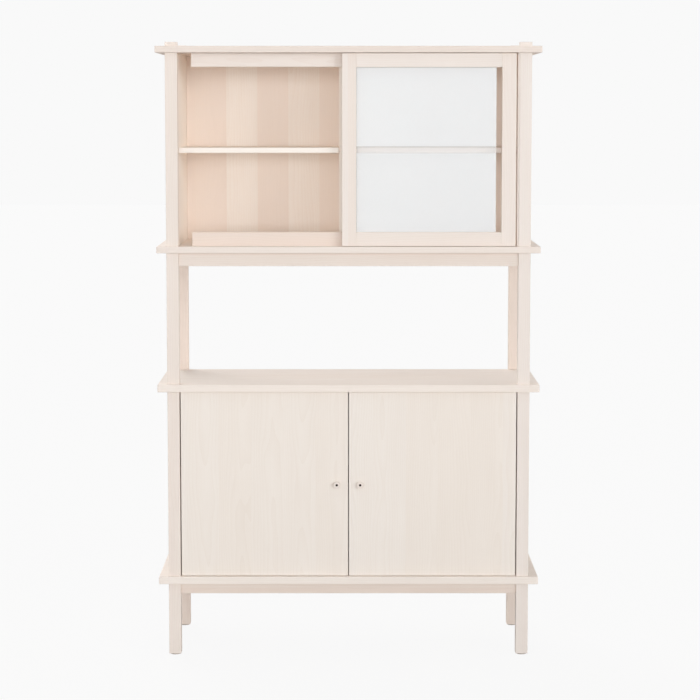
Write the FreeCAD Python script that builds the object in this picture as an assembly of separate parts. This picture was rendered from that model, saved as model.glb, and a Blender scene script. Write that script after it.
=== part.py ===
import FreeCAD, Part
import os
from FreeCAD import Vector

# A tall sideboard: a cupboard with two hinged doors below, an open bay above its counter,
# and an upper cabinet with shelves and one framed sliding door.
# Millimetres, +Z up, the front faces -Y, the origin is on the floor under the middle.

# Boards run across the posts and stand out past them at the ends and the front
board_length = 1106.0
board_depth = 385.0
lower_board = 22.0
upper_board = 19.0
end_overhang = 28.0
front_cover = 10.0
back_lap = 10.0

# Square posts pass through the boards, from the foot glides to above the top board
post_size = 35.0
post_rise = 11.5
mortise_gap = 0.15
glide_radius = 15.0
glide_height = 3.0
nail_radius = 1.5
nail_length = 16.0

# Clear heights, from the floor upwards
leg_height = 211.5
lower_room = 542.5
bay_room = 381.0
upper_room = 554.5

# Rails tie the posts together under the bottom and middle boards
rail_thickness = 20.0
rail_setback = 5.0
bottom_rail_height = 30.0
middle_rail_height = 38.0

# Dowels join rails to posts and panels to boards
dowel_radius = 3.0
dowel_length = 30.0
dowel_end_gap = 0.5
fit_gap = 0.05
long_rail_dowel_shares = (0.2, 0.8)
side_rail_dowel_shares = (0.5,)
panel_dowel_shares = (0.2, 0.8)
panel_dowel_bite = 12.0

# Screws hold the back posts to the boards' back edges
post_screw_radius = 2.0
post_screw_head_radius = 4.0
post_screw_head_height = 3.0
post_screw_bite = 25.0

# Side, back and dividing panels
side_thickness = 20.0
back_thickness = 12.0
back_gap = 0.2
divider_thickness = 18.0
divider_offset = 18.0

# Loose shelves lie on pegs that are hidden in grooves under them
shelf_thickness = 15.0
shelf_end_gap = 0.5
shelf_front_gap = 4.0
upper_shelf_height = 268.0
lower_shelf_height = 255.0
peg_radius = 2.5
peg_length = 16.0
peg_bite = 8.0
peg_recess = 0.5
peg_shares = (0.15, 0.85)

# Hinged doors turn on pivot pins in the bottom board and the counter
door_thickness = 20.0
door_setback = 2.0
door_gap = 1.2
hinge_gap = 3.0
middle_gap = 2.5
pivot_edge = 17.5
pivot_radius = 4.0
pivot_depth = 10.0
pivot_reach = 14.0
pivot_end_gap = 1.0
collar_radius = 8.0
collar_gap = 0.2
running_gap = 0.05
bush_radius = 6.0

# Turned knobs with a dark cap in the middle, screwed on from behind
knob_radius = 10.0
knob_disc_height = 6.0
knob_neck_radius = 7.0
knob_neck_height = 4.0
knob_rounding = 1.5
knob_from_middle = 34.0
knob_level = 270.0
cap_radius = 3.5
cap_depth = 3.0
cap_recess = 0.5
knob_screw_radius = 2.0
knob_screw_bite = 5.0
knob_screw_head_radius = 4.0
knob_screw_head_height = 2.5

# A magnetic catch under the counter meets a steel plate on each door
catch_width = 60.0
catch_depth = 16.0
catch_height = 14.0
catch_gap = 0.5
plate_width = 22.0
plate_height = 12.0
plate_thickness = 1.0
plate_drop = 4.0
plate_edge = 4.0

# The sliding door is a frame with a pane that stops short of the right stile for the fingers
sliding_width = 499.7
sliding_thickness = 20.0
sliding_setback = 3.0
sliding_end_gap = 3.7
sliding_lift = 1.2
stile_width = 41.0
frame_rail_height = 40.0
tenon_length = 20.0
tenon_thickness = 8.0
tenon_shoulder = 10.0
tenon_gap = 0.1
pane_thickness = 4.0
pane_groove = 8.0
pane_gap = 0.2
finger_slot = 16.0

# A strip on the right post meets the closed sliding door
closing_strip_width = 5.0

# Shoes under and over the sliding door run in grooves in the boards
track_width = 8.0
track_end = 6.0
lower_track_depth = 6.0
upper_track_depth = 10.0
shoe_length = 30.0
shoe_insert = 8.0
shoe_gap = 0.3
shoe_shares = (0.15, 0.85)

# Stop rails stand behind the sliding door, at its top and bottom
stop_rail_height = 40.0
stop_rail_thickness = 16.0
stop_rail_end_gap = 38.0
stop_rail_clearance = 4.0

# Cuts reach this far past the faces they open
overrun = 2.0

# Places across the width
post_outer = board_length / 2 - end_overhang
post_inner = post_outer - post_size
side_outer = post_inner + side_thickness

# Places from front to back
overall_depth = board_depth - back_lap + post_size
board_front = -overall_depth / 2
board_back = board_front + board_depth
front_post_front = board_front + front_cover
front_post_back = front_post_front + post_size
back_post_front = board_back - back_lap
back_post_back = back_post_front + post_size
back_panel_front = board_back - back_thickness

# Levels
bottom_under = leg_height
bottom_top = bottom_under + lower_board
counter_under = bottom_top + lower_room
counter_top = counter_under + lower_board
middle_under = counter_top + bay_room
middle_top = middle_under + upper_board
top_under = middle_top + upper_room
top_top = top_under + upper_board
post_top = top_top + post_rise

# Directions
ALONG_X = Vector(1, 0, 0)
ALONG_Y = Vector(0, 1, 0)
ALONG_Z = Vector(0, 0, 1)
SIDES = (("left", -1), ("right", 1))

parts = {}


def block(x_span, y_span, z_span):
    """A box between the low and high value of each span."""
    corner = Vector(x_span[0], y_span[0], z_span[0])
    size_x = x_span[1] - x_span[0]
    size_y = y_span[1] - y_span[0]
    size_z = z_span[1] - z_span[0]
    return Part.makeBox(size_x, size_y, size_z, corner)


def rod(radius, base, direction, length):
    """A cylinder that starts at base."""
    return Part.makeCylinder(radius, length, base, direction)


def mirrored(shape):
    """The same shape on the other side of the middle."""
    return shape.mirror(Vector(0, 0, 0), ALONG_X)


def sided(span, sign):
    """A span on the right, or its reflection on the left."""
    return span if sign > 0 else (-span[1], -span[0])


def joined(shapes):
    """One solid from overlapping or touching shapes."""
    whole = shapes[0]
    for shape in shapes[1:]:
        whole = whole.fuse(shape)
    return whole.removeSplitter()


def group(shapes):
    """Separate solids kept together."""
    return Part.makeCompound(shapes)


def between(low, high, share):
    """The place a share of the way from low to high."""
    return low + (high - low) * share


def dowel_pair(middle, direction, before, after):
    """A dowel that reaches before and after its middle point, and the socket it sits in."""
    start = middle - direction * before
    socket_start = start - direction * dowel_end_gap
    dowel = rod(dowel_radius, start, direction, before + after)
    socket_length = before + after + dowel_end_gap + dowel_end_gap
    socket = rod(dowel_radius + fit_gap, socket_start, direction, socket_length)
    return dowel, socket


# Rails and the dowels in their ends
rail_levels = (
    ("bottom", bottom_under - bottom_rail_height, bottom_under),
    ("middle", middle_under - middle_rail_height, middle_under),
)
front_rail_span = (front_post_front + rail_setback, front_post_front + rail_setback + rail_thickness)
back_rail_span = (back_post_front, back_post_front + rail_thickness)
side_rail_span = (post_outer - rail_setback - rail_thickness, post_outer - rail_setback)
rail_bodies = {}
rail_dowels = []
rail_sockets = []
half_dowel = dowel_length / 2


def add_rail_dowels(middle, direction):
    """A dowel half in the rail and half in the post."""
    dowel, socket = dowel_pair(middle, direction, half_dowel, half_dowel)
    rail_dowels.append(dowel)
    rail_sockets.append(socket)


for level_name, rail_low, rail_high in rail_levels:
    for place, y_span in (("front", front_rail_span), ("back", back_rail_span)):
        long_rail = block((-post_inner, post_inner), y_span, (rail_low, rail_high))
        rail_bodies[level_name + "_" + place + "_rail"] = long_rail
        rail_middle = sum(y_span) / 2
        for share in long_rail_dowel_shares:
            dowel_level = between(rail_low, rail_high, share)
            add_rail_dowels(Vector(-post_inner, rail_middle, dowel_level), ALONG_X)
            add_rail_dowels(Vector(post_inner, rail_middle, dowel_level), ALONG_X)
    for side, sign in SIDES:
        x_span = sided(side_rail_span, sign)
        side_rail = block(x_span, (front_post_back, back_post_front), (rail_low, rail_high))
        rail_bodies[level_name + "_" + side + "_rail"] = side_rail
        for share in side_rail_dowel_shares:
            dowel_level = between(rail_low, rail_high, share)
            add_rail_dowels(Vector(sum(x_span) / 2, front_post_back, dowel_level), ALONG_Y)
            add_rail_dowels(Vector(sum(x_span) / 2, back_post_front, dowel_level), ALONG_Y)

rail_socket_group = group(rail_sockets)
for name, body in rail_bodies.items():
    parts[name] = body.cut(rail_socket_group)
parts["rail_dowels"] = group(rail_dowels)

# Screws through the back posts into the boards
board_levels = (
    ("bottom_board", bottom_under, bottom_top),
    ("counter_board", counter_under, counter_top),
    ("middle_board", middle_under, middle_top),
    ("top_board", top_under, top_top),
)
post_middle = (post_inner + post_outer) / 2
post_screws = []
post_screw_holes = []
for _, board_low, board_high in board_levels:
    for _, sign in SIDES:
        start = Vector(sign * post_middle, back_post_back, (board_low + board_high) / 2)
        shank_length = post_size + post_screw_bite
        head = rod(post_screw_head_radius, start, -ALONG_Y, post_screw_head_height)
        shank = rod(post_screw_radius, start, -ALONG_Y, shank_length)
        post_screws.append(joined([head, shank]))
        hole_start = start + ALONG_Y * overrun
        head_room = overrun + post_screw_head_height + fit_gap
        head_hole = rod(post_screw_head_radius + fit_gap, hole_start, -ALONG_Y, head_room)
        shank_room = overrun + shank_length + dowel_end_gap
        shank_hole = rod(post_screw_radius + fit_gap, hole_start, -ALONG_Y, shank_room)
        post_screw_holes.append(joined([head_hole, shank_hole]))
parts["post_screws"] = group(post_screws)
post_screw_hole_group = group(post_screw_holes)

# Posts and the glides nailed under them
glides = []
for place, y_low in (("front", front_post_front), ("back", back_post_front)):
    for side, sign in SIDES:
        x_span = sided((post_inner, post_outer), sign)
        foot = Vector(sum(x_span) / 2, y_low + post_size / 2, 0)
        post = block(x_span, (y_low, y_low + post_size), (glide_height, post_top))
        nail_base = foot + ALONG_Z * glide_height
        nail_hole = rod(nail_radius + fit_gap, nail_base, ALONG_Z, nail_length + dowel_end_gap)
        post = post.cut(group([nail_hole, rail_socket_group, post_screw_hole_group]))
        parts[place + "_" + side + "_post"] = post
        pad = rod(glide_radius, foot, ALONG_Z, glide_height)
        nail = rod(nail_radius, foot, ALONG_Z, glide_height + nail_length)
        glides.append(joined([pad, nail]))
parts["foot_glides"] = group(glides)

# Side panels, the divider and the dowels in their ends
sliding_front = front_post_front + sliding_setback
sliding_back = sliding_front + sliding_thickness
stop_rail_front = sliding_back + stop_rail_clearance
stop_rail_back = stop_rail_front + stop_rail_thickness
divider_span = (-divider_offset - divider_thickness / 2, -divider_offset + divider_thickness / 2)
side_y_span = (front_post_back, back_post_front)
divider_y_span = (stop_rail_back, back_panel_front)
standing_panels = [("upper_divider", divider_span, divider_y_span, middle_top, top_under)]
for side, sign in SIDES:
    x_span = sided((post_inner, side_outer), sign)
    standing_panels.append(("lower_" + side + "_side", x_span, side_y_span, bottom_top, counter_under))
    standing_panels.append(("upper_" + side + "_side", x_span, side_y_span, middle_top, top_under))

panel_bodies = {}
panel_dowels = []
panel_sockets = []
for name, x_span, y_span, panel_low, panel_high in standing_panels:
    panel_bodies[name] = block(x_span, y_span, (panel_low, panel_high))
    for share in panel_dowel_shares:
        dowel_y = between(y_span[0], y_span[1], share)
        for level, inward in ((panel_low, ALONG_Z), (panel_high, -ALONG_Z)):
            middle = Vector(sum(x_span) / 2, dowel_y, level)
            in_panel = dowel_length - panel_dowel_bite
            dowel, socket = dowel_pair(middle, inward, panel_dowel_bite, in_panel)
            panel_dowels.append(dowel)
            panel_sockets.append(socket)
panel_socket_group = group(panel_sockets)
parts["panel_dowels"] = group(panel_dowels)

# Back panels stand between the sides, flush with the boards' back edges
back_half = post_inner - back_gap
for name, low, high in (("lower", bottom_top, counter_under), ("upper", middle_top, top_under)):
    panel = block((-back_half, back_half), (back_panel_front, board_back), (low, high))
    parts[name + "_back_panel"] = panel

# Shelves and their pegs
def peg_groove(seat, inward):
    """The round-topped groove that a shelf needs over the peg at that place on the wall."""
    radius = peg_radius + fit_gap
    length = peg_length - peg_bite + dowel_end_gap
    tip = seat + inward * length
    crown = rod(radius, seat, inward, length)
    mouth = block(
        (min(seat.x, tip.x), max(seat.x, tip.x)),
        (seat.y - radius, seat.y + radius),
        (seat.z - radius - peg_recess, seat.z),
    )
    return joined([crown, mouth])


shelf_y_span = (front_post_back + shelf_front_gap, back_panel_front - shelf_end_gap)
upper_shelf_under = middle_top + upper_shelf_height
lower_shelf_under = bottom_top + lower_shelf_height
shelf_bays = (
    ("lower_shelf", -post_inner, post_inner, lower_shelf_under),
    ("left_upper_shelf", -post_inner, divider_span[0], upper_shelf_under),
    ("right_upper_shelf", divider_span[1], post_inner, upper_shelf_under),
)
pegs = []
peg_holes = []
for name, bay_left, bay_right, shelf_under in shelf_bays:
    x_span = (bay_left + shelf_end_gap, bay_right - shelf_end_gap)
    shelf = block(x_span, shelf_y_span, (shelf_under, shelf_under + shelf_thickness))
    peg_level = shelf_under + peg_recess + peg_radius
    for share in peg_shares:
        peg_y = between(shelf_y_span[0], shelf_y_span[1], share)
        for wall, inward in ((bay_left, ALONG_X), (bay_right, -ALONG_X)):
            seat = Vector(wall, peg_y, peg_level)
            pegs.append(rod(peg_radius, seat - inward * peg_bite, inward, peg_length))
            hole_start = seat - inward * (peg_bite + fit_gap)
            peg_holes.append(rod(peg_radius + fit_gap, hole_start, inward, peg_length))
            shelf = shelf.cut(peg_groove(seat, inward))
    parts[name] = shelf
parts["shelf_pegs"] = group(pegs)
peg_hole_group = group(peg_holes)
for name, body in panel_bodies.items():
    parts[name] = body.cut(panel_socket_group).cut(peg_hole_group)

# Stop rails behind the sliding door
stop_half = post_inner - stop_rail_end_gap
stop_y_span = (stop_rail_front, stop_rail_back)
stop_levels = (
    ("lower_stop_rail", middle_top, middle_top + stop_rail_height),
    ("upper_stop_rail", top_under - stop_rail_height, top_under),
)
for name, low, high in stop_levels:
    parts[name] = block((-stop_half, stop_half), stop_y_span, (low, high))

# Hinged doors, made on the left and reflected
door_front = front_post_front + door_setback
door_back = door_front + door_thickness
door_low = bottom_top + door_gap
door_high = counter_under - door_gap
door_outer = -(post_inner - hinge_gap)
door_inner = -middle_gap / 2
pivot_x = door_outer + pivot_edge
pivot_y = door_front + door_thickness / 2
bush_length = pivot_reach + pivot_end_gap


def pivot_pin(board_face, into_door):
    """A collared pin seated in a board, with its free end in the door's bush."""
    seat = Vector(pivot_x, pivot_y, board_face)
    tail = rod(pivot_radius, seat, -into_door, pivot_depth)
    collar_height = door_gap - collar_gap
    collar = rod(collar_radius, seat, into_door, collar_height)
    free_end = rod(pivot_radius, seat, into_door, door_gap + pivot_reach)
    return joined([tail, collar, free_end])


def pivot_socket(board_face, into_door):
    """The hole in a board for a pin's tail."""
    mouth = Vector(pivot_x, pivot_y, board_face) + into_door * overrun
    depth = overrun + pivot_depth + fit_gap
    return rod(pivot_radius + fit_gap, mouth, -into_door, depth)


def bush(door_face, into_door):
    """A plain ring let into the door's edge around the pin."""
    mouth = Vector(pivot_x, pivot_y, door_face)
    ring = rod(bush_radius, mouth, into_door, bush_length)
    return ring.cut(rod(pivot_radius + running_gap, mouth, into_door, bush_length))


def bush_seat(door_face, into_door):
    """The hole in the door for a bush."""
    mouth = Vector(pivot_x, pivot_y, door_face) - into_door * overrun
    depth = overrun + bush_length + fit_gap
    return rod(bush_radius + fit_gap, mouth, into_door, depth)


knob_centre = Vector(-knob_from_middle, door_front, bottom_top + knob_level)
knob_height = knob_neck_height + knob_disc_height


def knob():
    """A disc on a short neck, bored in front for its cap and behind for its screw."""
    neck = rod(knob_neck_radius, knob_centre, -ALONG_Y, knob_neck_height)
    disc_base = knob_centre - ALONG_Y * knob_neck_height
    disc = rod(knob_radius, disc_base, -ALONG_Y, knob_disc_height)
    disc = disc.makeFillet(knob_rounding, disc.Edges)
    face = knob_centre - ALONG_Y * (knob_height + overrun)
    cap_bore = rod(cap_radius + fit_gap, face, ALONG_Y, overrun + cap_depth)
    screw_mouth = knob_centre + ALONG_Y * overrun
    screw_bore_depth = overrun + knob_screw_bite + fit_gap
    screw_bore = rod(knob_screw_radius + fit_gap, screw_mouth, -ALONG_Y, screw_bore_depth)
    return joined([neck, disc]).cut(cap_bore).cut(screw_bore)


def knob_cap():
    """The dark plug in the middle of the knob."""
    cap_back = knob_centre - ALONG_Y * (knob_height - cap_depth)
    return rod(cap_radius, cap_back, -ALONG_Y, cap_depth - cap_recess)


def knob_screw(gap):
    """The screw that holds the knob, or with a gap the hole that it needs in the door."""
    tip = knob_centre - ALONG_Y * knob_screw_bite
    shank_length = knob_screw_bite + door_thickness
    shank = rod(knob_screw_radius + gap, tip, ALONG_Y, shank_length)
    head_base = knob_centre + ALONG_Y * (door_thickness - knob_screw_head_height - gap)
    head = rod(knob_screw_head_radius + gap, head_base, ALONG_Y, knob_screw_head_height + gap)
    return joined([shank, head])


def strike_plate():
    """A thin steel plate on the back of the door, at the top of its free edge."""
    plate_right = door_inner - plate_edge
    plate_high = door_high - plate_drop
    return block(
        (plate_right - plate_width, plate_right),
        (door_back, door_back + plate_thickness),
        (plate_high - plate_height, plate_high),
    )


def door_panel():
    """The plain slab, bored for its bushes and its knob's screw."""
    slab = block((door_outer, door_inner), (door_front, door_back), (door_low, door_high))
    bores = [bush_seat(door_low, ALONG_Z), bush_seat(door_high, -ALONG_Z), knob_screw(fit_gap)]
    return slab.cut(group(bores))


left_door_pieces = {
    "door_panel": door_panel(),
    "door_bushes": group([bush(door_low, ALONG_Z), bush(door_high, -ALONG_Z)]),
    "door_knob": knob(),
    "knob_cap": knob_cap(),
    "knob_screw": knob_screw(0),
    "strike_plate": strike_plate(),
}
for name, shape in left_door_pieces.items():
    parts["left_" + name] = shape
    parts["right_" + name] = mirrored(shape)

left_pins = [pivot_pin(bottom_top, ALONG_Z), pivot_pin(counter_under, -ALONG_Z)]
parts["door_pivot_pins"] = group(left_pins + [mirrored(pin) for pin in left_pins])
left_pin_sockets = [pivot_socket(bottom_top, ALONG_Z), pivot_socket(counter_under, -ALONG_Z)]
pin_socket_group = group(left_pin_sockets + [mirrored(socket) for socket in left_pin_sockets])

catch_front = door_back + plate_thickness + catch_gap
catch_y_span = (catch_front, catch_front + catch_depth)
catch_z_span = (counter_under - catch_height, counter_under)
parts["door_catch"] = block((-catch_width / 2, catch_width / 2), catch_y_span, catch_z_span)

# Sliding door
closing_strip_left = post_inner - closing_strip_width
sliding_right = closing_strip_left - sliding_end_gap
sliding_left = sliding_right - sliding_width
sliding_low = middle_top + sliding_lift
sliding_high = top_under - sliding_lift
opening_left = sliding_left + stile_width
opening_right = sliding_right - stile_width
opening_low = sliding_low + frame_rail_height
opening_high = sliding_high - frame_rail_height
sliding_y_span = (sliding_front, sliding_back)
sliding_middle = (sliding_front + sliding_back) / 2


def centred(thickness):
    """A span of that thickness about the sliding door's middle plane."""
    return (sliding_middle - thickness / 2, sliding_middle + thickness / 2)


parts["closing_strip"] = block((closing_strip_left, post_inner), sliding_y_span, (middle_top, top_under))
pane_groove_group = block(
    (opening_left - pane_groove, opening_right),
    centred(pane_thickness + pane_gap + pane_gap),
    (opening_low - pane_groove, opening_high + pane_groove),
)
pane_bite = pane_groove - pane_gap
parts["sliding_pane"] = block(
    (opening_left - pane_bite, opening_right - finger_slot),
    centred(pane_thickness),
    (opening_low - pane_bite, opening_high + pane_bite),
)


def shoe(share, low, high, gap):
    """A flat shoe at a share of the door's width, or with a gap the slot that it needs."""
    middle = between(sliding_left, sliding_right, share)
    x_span = (middle - shoe_length / 2 - gap, middle + shoe_length / 2 + gap)
    shoe_thickness = track_width - shoe_gap - shoe_gap
    return block(x_span, centred(shoe_thickness + gap + gap), (low, high))


shoe_foot = middle_top - lower_track_depth + shoe_gap
shoe_head = top_under + upper_track_depth - shoe_gap
lower_shoes = [shoe(share, shoe_foot, sliding_low + shoe_insert, 0) for share in shoe_shares]
upper_shoes = [shoe(share, sliding_high - shoe_insert, shoe_head, 0) for share in shoe_shares]
lower_slots = [shoe(share, shoe_foot, sliding_low + shoe_insert + fit_gap, fit_gap) for share in shoe_shares]
upper_slots = [shoe(share, sliding_high - shoe_insert - fit_gap, shoe_head, fit_gap) for share in shoe_shares]
parts["sliding_lower_shoes"] = group(lower_shoes)
parts["sliding_upper_shoes"] = group(upper_shoes)

tenon_z_spans = (
    (sliding_low + tenon_shoulder, opening_low - tenon_shoulder),
    (opening_high + tenon_shoulder, sliding_high - tenon_shoulder),
)


def frame_rail(z_span, tenon_z_span, slots):
    """A rail of the sliding door with a tenon at each end."""
    rail = block((opening_left, opening_right), sliding_y_span, z_span)
    tenon_x_span = (opening_left - tenon_length, opening_right + tenon_length)
    tenon = block(tenon_x_span, centred(tenon_thickness), tenon_z_span)
    tools = group([pane_groove_group] + slots)
    return joined([rail, tenon]).cut(tools)


def frame_stile(x_span):
    """A stile of the sliding door with its mortises."""
    stile = block(x_span, sliding_y_span, (sliding_low, sliding_high))
    reach = tenon_length + tenon_gap
    for tenon_low, tenon_high in tenon_z_spans:
        mortise = block(
            (opening_left - reach, opening_right + reach),
            centred(tenon_thickness + tenon_gap + tenon_gap),
            (tenon_low - tenon_gap, tenon_high + tenon_gap),
        )
        stile = stile.cut(mortise)
    return stile


parts["sliding_lower_rail"] = frame_rail((sliding_low, opening_low), tenon_z_spans[0], lower_slots)
parts["sliding_upper_rail"] = frame_rail((opening_high, sliding_high), tenon_z_spans[1], upper_slots)
parts["sliding_left_stile"] = frame_stile((sliding_left, opening_left)).cut(pane_groove_group)
parts["sliding_right_stile"] = frame_stile((opening_right, sliding_right))

# Boards, mortised for the front posts and notched for the back posts
post_seats = []
for _, sign in SIDES:
    x_span = sided((post_inner - mortise_gap, post_outer + mortise_gap), sign)
    front_y_span = (front_post_front - mortise_gap, front_post_back + mortise_gap)
    back_y_span = (back_post_front - mortise_gap, board_back + overrun)
    whole_height = (0, post_top)
    post_seats.append(block(x_span, front_y_span, whole_height))
    post_seats.append(block(x_span, back_y_span, whole_height))

track_half = post_inner - track_end
lower_track = block(
    (-track_half, track_half),
    centred(track_width),
    (middle_top - lower_track_depth, middle_top + overrun),
)
upper_track = block(
    (-track_half, track_half),
    centred(track_width),
    (top_under - overrun, top_under + upper_track_depth),
)
board_tools = [group(post_seats), post_screw_hole_group, panel_socket_group, pin_socket_group]
board_tools += [lower_track, upper_track]
for name, low, high in board_levels:
    board = block((-board_length / 2, board_length / 2), (board_front, board_back), (low, high))
    for tool in board_tools:
        board = board.cut(tool)
    parts[name] = board

os.makedirs("parts", exist_ok=True)
for name, shape in parts.items():
    shape.exportStep("parts/" + name + ".step")
print(len(parts), "nodes")
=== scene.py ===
import math

import bpy
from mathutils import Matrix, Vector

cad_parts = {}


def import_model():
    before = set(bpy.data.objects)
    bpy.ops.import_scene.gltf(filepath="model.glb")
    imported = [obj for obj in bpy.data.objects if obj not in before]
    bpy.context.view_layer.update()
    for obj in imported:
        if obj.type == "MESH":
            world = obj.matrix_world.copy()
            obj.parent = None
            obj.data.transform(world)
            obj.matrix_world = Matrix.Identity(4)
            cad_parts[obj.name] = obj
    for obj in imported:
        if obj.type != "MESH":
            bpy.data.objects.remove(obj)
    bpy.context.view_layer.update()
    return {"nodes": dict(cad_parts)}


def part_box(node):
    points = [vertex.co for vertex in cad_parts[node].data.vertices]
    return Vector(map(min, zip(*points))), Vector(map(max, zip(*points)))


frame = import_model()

# A tall open sideboard in pale, lightly whitened wood.
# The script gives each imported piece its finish, then sets up a white studio and the camera.
# Lengths are in metres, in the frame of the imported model: Z is up and the front faces -Y.

nodes = frame["nodes"]
millimetre = 0.001
width_axis = 0
depth_axis = 1
height_axis = 2


# Colour: the curve of screen colours is straight near black and a power above that

full_level = 255
straight_end = 0.04045
straight_slope = 12.92
curve_offset = 0.055
curve_power = 2.4


def linear(red, green, blue):
    """A screen colour, 0 to 255 in each channel, as the linear colour that a shader takes."""
    channels = []
    for level in (red, green, blue):
        share = level / full_level
        if share <= straight_end:
            channels.append(share / straight_slope)
        else:
            channels.append(((share + curve_offset) / (1 + curve_offset)) ** curve_power)
    return channels + [1.0]


white = linear(255, 255, 255)


# Shader graphs: the three numbers are the mix node's sockets for colours

mix_first = 6
mix_second = 7
mix_result = 2


class Graph:
    """A node tree, with short ways to add nodes and link them."""

    def __init__(self, tree):
        self.tree = tree

    def feed(self, socket, value):
        """Links an output socket to an input, or sets the input to a constant."""
        if isinstance(value, bpy.types.NodeSocket):
            self.tree.links.new(value, socket)
        else:
            socket.default_value = value

    def add(self, kind, inputs, **settings):
        """A new node with its settings, and its inputs by name or by number."""
        node = self.tree.nodes.new(kind)
        for key, value in settings.items():
            setattr(node, key, value)
        for key, value in inputs.items():
            self.feed(node.inputs[key], value)
        return node

    def math(self, operation, first, second=0.0, third=0.0):
        """One operation on up to three values, each a socket or a number."""
        node = self.add("ShaderNodeMath", {0: first, 1: second, 2: third}, operation=operation)
        return node.outputs[0]

    def vector(self, x, y, z):
        return self.add("ShaderNodeCombineXYZ", {0: x, 1: y, 2: z}).outputs[0]

    def split(self, vector):
        return self.add("ShaderNodeSeparateXYZ", {0: vector}).outputs

    def scaled(self, vector, scale):
        return self.add("ShaderNodeVectorMath", {0: vector, "Scale": scale}, operation="SCALE").outputs[0]

    def noise(self, vector, detail, roughness=0.5):
        """Smooth noise of unit scale about 0.5: the vector carries the scale."""
        inputs = {"Vector": vector, "Scale": 1.0, "Detail": detail, "Roughness": roughness}
        return self.add("ShaderNodeTexNoise", inputs).outputs[0]

    def between(self, value, start, end):
        """0 at start, 1 at end and smooth between. The end may be the lesser of the two."""
        inputs = {"Value": value, "From Min": start, "From Max": end}
        return self.add("ShaderNodeMapRange", inputs, interpolation_type="SMOOTHSTEP").outputs[0]

    def mix(self, share, first, second):
        """A colour that goes from first to second as share goes from 0 to 1."""
        inputs = {0: share, mix_first: first, mix_second: second}
        return self.add("ShaderNodeMix", inputs, data_type="RGBA").outputs[mix_result]

    def mix_shaders(self, share, first, second):
        """A surface that goes from the first shader to the second as share goes from 0 to 1."""
        inputs = {0: share, 1: first.outputs[0], 2: second.outputs[0]}
        return self.add("ShaderNodeMixShader", inputs).outputs[0]

    def ray_is(self, *kinds):
        """1 for a ray of one of these kinds, and 0 for any other."""
        path = self.add("ShaderNodeLightPath", {}).outputs
        found = path["Is " + kinds[0] + " Ray"]
        for kind in kinds[1:]:
            found = self.math("MAXIMUM", found, path["Is " + kind + " Ray"])
        return found


class Look(Graph):
    """The node tree of one material, with its main shader."""

    def __init__(self, name):
        self.material = bpy.data.materials.new(name)
        self.material.use_nodes = True
        super().__init__(self.material.node_tree)
        self.shader = self.tree.nodes["Principled BSDF"]

    def set(self, **inputs):
        """Sets or links the shader's own inputs, by name with _ for a space."""
        for key, value in inputs.items():
            self.feed(self.shader.inputs[key.replace("_", " ")], value)

    def bump(self, height, strength, depth):
        inputs = {"Strength": strength, "Distance": depth, "Height": height}
        self.set(Normal=self.add("ShaderNodeBump", inputs).outputs[0])

    def let_in(self, share, other):
        """Shows another shader in place of the main one, by share."""
        mixed = self.mix_shaders(share, self.shader, other)
        self.feed(self.tree.nodes["Material Output"].inputs["Surface"], mixed)

    def place(self):
        """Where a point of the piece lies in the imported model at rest."""
        return self.add("ShaderNodeTexCoord", {}).outputs["Object"]

    def normal(self):
        """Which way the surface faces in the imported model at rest."""
        return self.add("ShaderNodeTexCoord", {}).outputs["Normal"]


# Wood

def tone(light, dark, flush):
    """A wood's colours: each strip runs from light to dark, and some strips are flushed."""
    return {"light": linear(*light), "dark": linear(*dark), "flush": linear(*flush)}


wood_tones = {
    "pale_wood": tone((242, 236, 231), (230, 216, 206), (240, 228, 218)),
    "panel_wood": tone((253, 250, 245), (240, 230, 221), (240, 223, 213)),
    "door_wood": tone((245, 239, 233), (233, 222, 211), (243, 233, 223)),
    # Painted light: a paler copy of the wood for the sides, divider, shelf and back inside the bays, standing
    # in for light that doesn't reach them
    "inner_wood": tone((254, 250, 244), (243, 233, 223), (252, 242, 232)),
    # Painted light: a paler copy for the counter and bottom boards, standing in for light on their tops under
    # the boards above
    "board_wood": tone((247, 241, 235), (235, 222, 212), (245, 234, 224)),
    # Partly painted shade: a deeper copy that darkens the rails under the boards' overhangs and the back
    # posts as if shaded; on the top board it tones down lighter strips
    "rail_wood": tone((238, 229, 221), (226, 209, 197), (236, 220, 209)),
    "dowel_wood": tone((238, 220, 200), (216, 190, 163), (230, 205, 180)),
}

# Pieces that have a tone of their own rather than their slot's: paler copies are painted light inside the
# bays and on the boards, and a deeper copy is painted shade under the overhangs
painted_light_shade_and_tone_groups = {
    "inner_wood": ("upper_left_side", "upper_right_side", "upper_divider", "left_upper_shelf",
                   "lower_back_panel"),
    "board_wood": ("bottom_board", "counter_board"),
    "rail_wood": ("top_board", "lower_stop_rail", "bottom_front_rail", "middle_front_rail",
                  "back_left_post", "back_right_post"),
}
upright_grain = ("upper_back_panel", "lower_back_panel")

# A piece's figure comes from its number in the list of names, or from the number chosen here
chosen_figure = {"upper_back_panel": 982.26}

# Glued strips: the figure moves them across the piece and seeds their chances
lamella_width = 0.094
strip_start = 0.5
strip_step = 0.37
seed_start = 0.5
seed_step = 7.31

# Rings: a heart outside the strip, and a drift along the grain that pushes the rings about
ring_width = 0.0052
late_wood_power = 2.2
heart_across_start = -0.008
heart_across_range = 0.11
heart_depth_start = 0.018
heart_depth_range = 0.075
drift_across = 9.0
drift_along = 2.1
drift_detail = 2.0
drift_sink_jump = 40.0
drift_slide_jump = 60.0
drift_rings = 9.0

# Streaks drawn out along the grain: their scales to the metre across it and along it
streaks = {
    "fibre": {"across": 620.0, "along": 11.0, "detail": 3.0, "roughness": 0.6},
    "pore": {"across": 1500.0, "along": 62.0, "detail": 1.0, "roughness": 0.5},
    "cloud": {"across": 24.0, "along": 3.2, "detail": 3.0, "roughness": 0.5},
}
pore_start = 0.60
pore_full = 0.72

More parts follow.
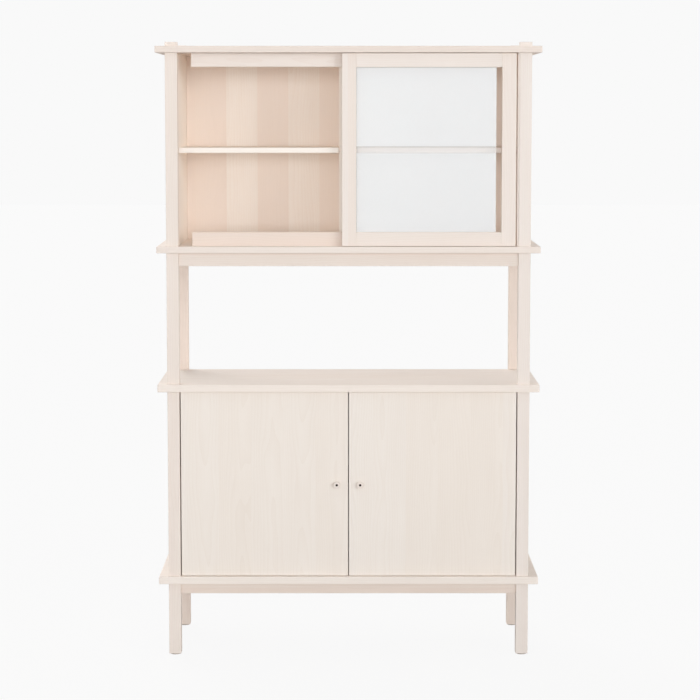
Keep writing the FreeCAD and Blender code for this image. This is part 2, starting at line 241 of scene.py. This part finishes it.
# How far each part of the figure darkens the wood, and how far it stands out
shade_shares = {"late_wood": 0.22, "fibre": 0.42, "cloud": 0.40, "pore": 0.16}
shade_lift = 0.14
height_shares = {"late_wood": -0.25, "fibre": 0.45, "pore": -0.9}

# A face counts as a back or an end from the first share of its normal, and fully from the second
facing_start = 0.6
facing_full = 0.95
front_flush_share = 0.62
back_flush_share = 0.22
end_grain_share = 0.35

# Satin oil finish: duller where the wood is dark, with the fibres just felt
wood_roughness = 0.56
wood_roughness_range = 0.16
wood_gloss = 0.10
wood_bump = 0.22
wood_bump_depth = 0.25 * millimetre


def grain_axes(name):
    """The numbers of the axes along, across and through a piece's grain, from its box."""
    if name in upright_grain:
        return [height_axis, width_axis, depth_axis]
    low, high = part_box(name)
    return sorted(range(3), key=lambda axis: high[axis] - low[axis], reverse=True)


def tone_of(name, slot):
    """The colours of a piece: those of its own group, or else of its slot."""
    for group, members in painted_light_shade_and_tone_groups.items():
        if name in members:
            return wood_tones[group]
    return wood_tones[slot]


def grain_place(look, name):
    """The places along, across and through the grain, from the middle of the piece."""
    low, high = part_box(name)
    to_middle = {0: look.place(), 1: (low + high) / 2}
    place = look.split(look.add("ShaderNodeVectorMath", to_middle, operation="SUBTRACT").outputs[0])
    return {way: place[axis] for way, axis in zip(("along", "across", "through"), grain_axes(name))}


def strip_chances(look, across, figure):
    """The place within a glued strip, with a seed and four random shares that each strip has to itself."""
    strip_place = look.math("MULTIPLY_ADD", across, 1 / lamella_width, strip_start + strip_step * figure)
    number = look.math("FLOOR", strip_place)
    within = look.math("MULTIPLY", look.math("SUBTRACT", strip_place, number), lamella_width)
    seed = look.math("ADD", number, seed_step * figure + seed_start)
    chance = look.add("ShaderNodeTexWhiteNoise", {"W": seed}, noise_dimensions="1D").outputs
    turn, sink, slide = look.split(chance["Color"])
    return {"within": within, "seed": seed, "turn": turn, "sink": sink, "slide": slide,
            "flush": chance["Value"]}


def ring_drift(look, place, strip):
    """Slow noise along the grain that pushes the rings about."""
    return look.noise(look.vector(
        look.math("MULTIPLY", strip["within"], drift_across),
        look.math("MULTIPLY_ADD", place["through"], drift_across,
                  look.math("MULTIPLY", strip["sink"], drift_sink_jump)),
        look.math("MULTIPLY_ADD", place["along"], drift_along,
                  look.math("MULTIPLY", strip["slide"], drift_slide_jump))), drift_detail)


def late_wood(look, place, strip):
    """Rings round a heart that lies outside the strip, each from 0 in early wood to 1 in late wood."""
    heart_across = look.math("MULTIPLY_ADD", strip["turn"], heart_across_range, heart_across_start)
    heart_depth = look.math("MULTIPLY_ADD", strip["sink"], heart_depth_range, heart_depth_start)
    side_step = look.math("SUBTRACT", strip["within"], heart_across)
    down_step = look.math("ADD", place["through"], heart_depth)
    radius = look.math("SQRT", look.math(
        "MULTIPLY_ADD", side_step, side_step, look.math("MULTIPLY", down_step, down_step)))
    rings = look.math("MULTIPLY_ADD", ring_drift(look, place, strip), drift_rings,
                      look.math("MULTIPLY", radius, 1 / ring_width))
    return look.math("POWER", look.math("FRACT", rings), late_wood_power)


def streak(look, sizes, place, seed):
    """Noise drawn out along the grain."""
    return look.noise(look.vector(
        look.math("MULTIPLY", place["across"], sizes["across"]),
        look.math("MULTIPLY", place["through"], sizes["across"]),
        look.math("MULTIPLY_ADD", place["along"], sizes["along"], seed)), sizes["detail"], sizes["roughness"])


def weighed(look, parts, shares):
    """The sum of the parts of the figure, each by its share."""
    total = 0.0
    for part, share in shares.items():
        total = look.math("MULTIPLY_ADD", parts[part], share, total)
    return total


def wood_colour(look, tone, shade, flush, along_axis):
    """Strips are flushed more or less, least so on the faces turned back, and cut ends are deeper."""
    plain = look.mix(shade, tone["light"], tone["dark"])
    flushed = look.mix(shade, tone["flush"], tone["dark"])
    normal = look.split(look.normal())
    back_face = look.between(normal[depth_axis], facing_start, facing_full)
    most = look.math("MULTIPLY_ADD", back_face, back_flush_share - front_flush_share, front_flush_share)
    tinted = look.mix(look.math("MULTIPLY", flush, most), plain, flushed)
    end_face = look.between(look.math("ABSOLUTE", normal[along_axis]), facing_start, facing_full)
    return look.mix(look.math("MULTIPLY", end_face, end_grain_share), tinted, tone["dark"])


def wood(name, slot, figure):
    """Whitened wood of edge-glued strips, each with its own heart, rings, fibres and pores."""
    look = Look("wood_" + name)
    place = grain_place(look, name)
    strip = strip_chances(look, place["across"], figure)
    parts = {kind: streak(look, sizes, place, strip["seed"]) for kind, sizes in streaks.items()}
    parts["pore"] = look.between(parts["pore"], pore_start, pore_full)
    parts["late_wood"] = late_wood(look, place, strip)
    shade = look.math("SUBTRACT", weighed(look, parts, shade_shares), shade_lift)
    along_axis = grain_axes(name)[0]
    look.set(Base_Color=wood_colour(look, tone_of(name, slot), shade, strip["flush"], along_axis))
    look.set(Roughness=look.math("MULTIPLY_ADD", shade, wood_roughness_range, wood_roughness))
    look.set(Specular_IOR_Level=wood_gloss)
    look.bump(weighed(look, parts, height_shares), wood_bump, wood_bump_depth)
    return look.material


# Metal: the scratches are drawn out upwards

fine_detail = 2.0
scratches_across = 2400.0
scratches_along = 500.0
worn_metal = linear(120, 112, 100)
worn_share = 0.35
metal_roughness_range = 0.2
metal_bump = 0.12
metal_bump_depth = 0.05 * millimetre


def metal(name, colour, roughness):
    """Drawn metal with fine scratches."""
    look = Look(name)
    x, y, z = look.split(look.place())
    scratch = look.noise(look.vector(
        look.math("MULTIPLY", x, scratches_across),
        look.math("MULTIPLY", y, scratches_across),
        look.math("MULTIPLY", z, scratches_along)), fine_detail)
    worn = look.mix(look.math("MULTIPLY", scratch, worn_share), colour, worn_metal)
    look.set(Base_Color=worn, Metallic=1.0)
    look.set(Roughness=look.math("MULTIPLY_ADD", scratch, metal_roughness_range, roughness))
    look.bump(scratch, metal_bump, metal_bump_depth)
    return look.material


# Plastic

plastic_grains = 1800.0
plastic_clouds = 90.0
plastic_dark_share = 0.82
plastic_roughness_range = 0.2
plastic_bump = 0.15
plastic_bump_depth = 0.06 * millimetre


def plastic(name, colour, roughness, gloss=0.5):
    """Moulded plastic with a fine even grain and faint cloudiness."""
    look = Look(name)
    grain = look.noise(look.scaled(look.place(), plastic_grains), fine_detail)
    cloud = look.noise(look.scaled(look.place(), plastic_clouds), fine_detail)
    darker = [level * plastic_dark_share for level in colour[:3]] + [1.0]
    look.set(Base_Color=look.mix(cloud, colour, darker), Specular_IOR_Level=gloss)
    least_roughness = roughness - plastic_roughness_range / 2
    look.set(Roughness=look.math("MULTIPLY_ADD", grain, plastic_roughness_range, least_roughness))
    look.bump(grain, plastic_bump, plastic_bump_depth)
    return look.material


# Satin glass: light passes through it more freely than the view does

pane_white = linear(235, 238, 240)
pane_cloud_white = linear(233, 236, 238)
pane_etching = 1400.0
pane_clouds = 5.0
pane_roughness = 0.22
pane_roughness_range = 0.12
pane_gloss = 0.3
pane_bump = 0.06
pane_bump_depth = 0.04 * millimetre
pane_clearness = 0.35
pane_light_share = 0.95
band_clearness = 0.70
band_rise = 4.0 * millimetre
band_edge = 0.6 * millimetre


def shelf_band(look):
    """1 level with the shelf behind the pane, 0 above and below it."""
    shelf_low, shelf_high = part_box("right_upper_shelf")
    band_low = shelf_low[height_axis]
    band_high = shelf_high[height_axis] + band_rise
    height = look.split(look.place())[height_axis]
    above = look.between(height, band_low - band_edge, band_low + band_edge)
    below = look.between(height, band_high + band_edge, band_high - band_edge)
    return look.math("MULTIPLY", above, below)


def satin_glass(name):
    """White satin glass, clearer in a band level with the shelf, so that the shelf shows through it."""
    look = Look(name)
    etch = look.noise(look.scaled(look.place(), pane_etching), fine_detail)
    cloud = look.noise(look.scaled(look.place(), pane_clouds), fine_detail)
    look.set(Base_Color=look.mix(cloud, pane_white, pane_cloud_white), Specular_IOR_Level=pane_gloss)
    look.set(Roughness=look.math("MULTIPLY_ADD", etch, pane_roughness_range, pane_roughness))
    look.bump(etch, pane_bump, pane_bump_depth)
    clearer = band_clearness - pane_clearness
    see_through = look.math("MULTIPLY_ADD", shelf_band(look), clearer, pane_clearness)
    lighting = look.math("MULTIPLY", look.ray_is("Shadow", "Diffuse"), pane_light_share)
    look.let_in(look.math("MAXIMUM", see_through, lighting), look.add("ShaderNodeBsdfTransparent", {}))
    return look.material


def plain_materials():
    """One material for each slot that isn't wood."""
    return {
        "satin_glass": satin_glass("satin_glass_look"),
        "steel": metal("steel_look", linear(196, 196, 194), roughness=0.28),
        "brass": metal("brass_look", linear(201, 172, 112), roughness=0.30),
        "nylon": plastic("nylon_look", linear(226, 223, 214), roughness=0.45),
        "dark_cap": plastic("dark_cap_look", linear(40, 25, 19), roughness=0.7, gloss=0.15),
        "glide_plastic": plastic("glide_look", linear(188, 178, 168), roughness=0.55),
        "catch_plastic": plastic("catch_look", linear(228, 222, 212), roughness=0.45),
    }


# Eased edges: the radius goes by the last word of a piece's name

edge_round = {
    "board": 1.6 * millimetre,
    "post": 1.1 * millimetre,
    "rail": 1.0 * millimetre,
    "panel": 1.0 * millimetre,
    "side": 0.8 * millimetre,
    "divider": 0.8 * millimetre,
    "shelf": 1.2 * millimetre,
    "stile": 1.0 * millimetre,
    "pane": 0.4 * millimetre,
    "strip": 0.6 * millimetre,
    "plate": 0.2 * millimetre,
    "catch": 0.6 * millimetre,
    "shoes": 0.4 * millimetre,
}
weld_reach = 0.002 * millimetre
flat_within = math.radians(0.5)
sharp_from = math.radians(60)
round_steps = 3


def ease_edges(piece, radius):
    """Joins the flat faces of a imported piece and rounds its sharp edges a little."""
    weld = piece.modifiers.new("weld", "WELD")
    weld.merge_threshold = weld_reach
    flat = piece.modifiers.new("flat_faces", "DECIMATE")
    flat.decimate_type = "DISSOLVE"
    flat.angle_limit = flat_within
    round_over = piece.modifiers.new("eased_edges", "BEVEL")
    round_over.width = radius
    round_over.segments = round_steps
    round_over.limit_method = "ANGLE"
    round_over.angle_limit = sharp_from
    round_over.use_clamp_overlap = False
    round_over.loop_slide = False
    round_over.harden_normals = True


def dress_pieces():
    """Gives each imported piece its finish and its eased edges."""
    shared = plain_materials()
    for number, name in enumerate(sorted(nodes)):
        piece = nodes[name]
        slot = piece.data.materials[0].name
        figure = chosen_figure.get(name, number)
        look = wood(name, slot, figure) if slot in wood_tones else shared[slot]
        piece.material_slots[0].material = look
        kind = name.split("_")[-1]
        if kind in edge_round:
            ease_edges(piece, edge_round[kind])


dress_pieces()


# Studio

background_level = linear(249, 249, 249)
sky_level = 0.12
floor_level = linear(190, 189, 188)
floor_reach = 30.0
floor_roughness = 0.9
floor_gloss = 0.1
floor_shadow_share = 0.09

# Rays that show the studio: the camera's own, and those off gloss or through glass
seen_kinds = ("Camera", "Glossy", "Transmission")


def world():
    """Even white light all round, and a near-white background where it is seen directly or in glass."""
    studio = bpy.data.worlds.new("studio")
    bpy.context.scene.world = studio
    studio.use_nodes = True
    studio.node_tree.nodes.clear()
    graph = Graph(studio.node_tree)
    light = graph.add("ShaderNodeBackground", {"Color": white, "Strength": sky_level})
    backdrop = graph.add("ShaderNodeBackground", {"Color": background_level})
    mixed = graph.mix_shaders(graph.ray_is(*seen_kinds), light, backdrop)
    graph.add("ShaderNodeOutputWorld", {"Surface": mixed})


def floor_material():
    """Near-white floor that keeps a faint shadow."""
    look = Look("studio_floor")
    look.set(Base_Color=floor_level, Roughness=floor_roughness, Specular_IOR_Level=floor_gloss)
    glow = look.add("ShaderNodeEmission", {"Color": white, "Strength": 1.0})
    look.let_in(look.math("MULTIPLY", look.ray_is(*seen_kinds), 1.0 - floor_shadow_share), glow)
    return look.material


def floor():
    mesh = bpy.data.meshes.new("floor")
    reach = floor_reach
    corners = [(-reach, -reach, 0), (reach, -reach, 0), (reach, reach, 0), (-reach, reach, 0)]
    mesh.from_pydata(corners, [], [(0, 1, 2, 3)])
    sheet = bpy.data.objects.new("floor", mesh)
    bpy.context.scene.collection.objects.link(sheet)
    mesh.materials.append(floor_material())


def softbox(name, azimuth, elevation, spread, level):
    """Soft even light from one side, in degrees from the front round to the right and up from the floor.

    Level is the share of full light on a surface that faces it.
    """
    lamp = bpy.data.lights.new(name, "SUN")
    lamp.angle = math.radians(spread)
    lamp.energy = level * math.pi
    holder = bpy.data.objects.new(name, lamp)
    bpy.context.scene.collection.objects.link(holder)
    holder.rotation_euler = (math.radians(90 - elevation), 0.0, math.radians(azimuth))


def lights():
    """A row of lamps in front, one brighter lamp on the right, and fill from the other sides."""
    for azimuth in (-20.0, -7.0, 7.0, 20.0):
        softbox("front_softbox", azimuth, elevation=3.0, spread=13.0, level=0.081)
    softbox("right_softbox", azimuth=47.0, elevation=5.0, spread=32.0, level=0.46)
    softbox("left_softbox", azimuth=-50.0, elevation=8.0, spread=44.0, level=0.20)
    softbox("overhead_softbox", azimuth=0.0, elevation=66.0, spread=46.0, level=0.21)
    softbox("back_softbox", azimuth=-155.0, elevation=30.0, spread=40.0, level=0.46)
    softbox("top_softbox", azimuth=180.0, elevation=65.0, spread=50.0, level=0.16)
    for azimuth in (-108.0, 108.0):
        softbox("side_softbox", azimuth, elevation=9.0, spread=40.0, level=0.26)


world()
floor()
lights()


# Camera

camera_place = (0.0, -6.50, 1.593)
camera_tilt = math.radians(-5.556)
camera_lens = 112.76
camera_sensor = 36.0
camera_shift = (0.0022, -0.04)


def camera():
    lens = bpy.data.cameras.new("camera")
    lens.sensor_width = camera_sensor
    lens.lens = camera_lens
    lens.shift_x, lens.shift_y = camera_shift
    holder = bpy.data.objects.new("camera", lens)
    bpy.context.scene.collection.objects.link(holder)
    holder.location = camera_place
    holder.rotation_euler = (math.pi / 2 + camera_tilt, 0.0, 0.0)
    bpy.context.scene.camera = holder


camera()

# Light reaches the depth of the bays only after several bounces
bay_bounces = 10
bpy.context.scene.cycles.diffuse_bounces = bay_bounces
bpy.context.scene.view_settings.view_transform = "Standard"
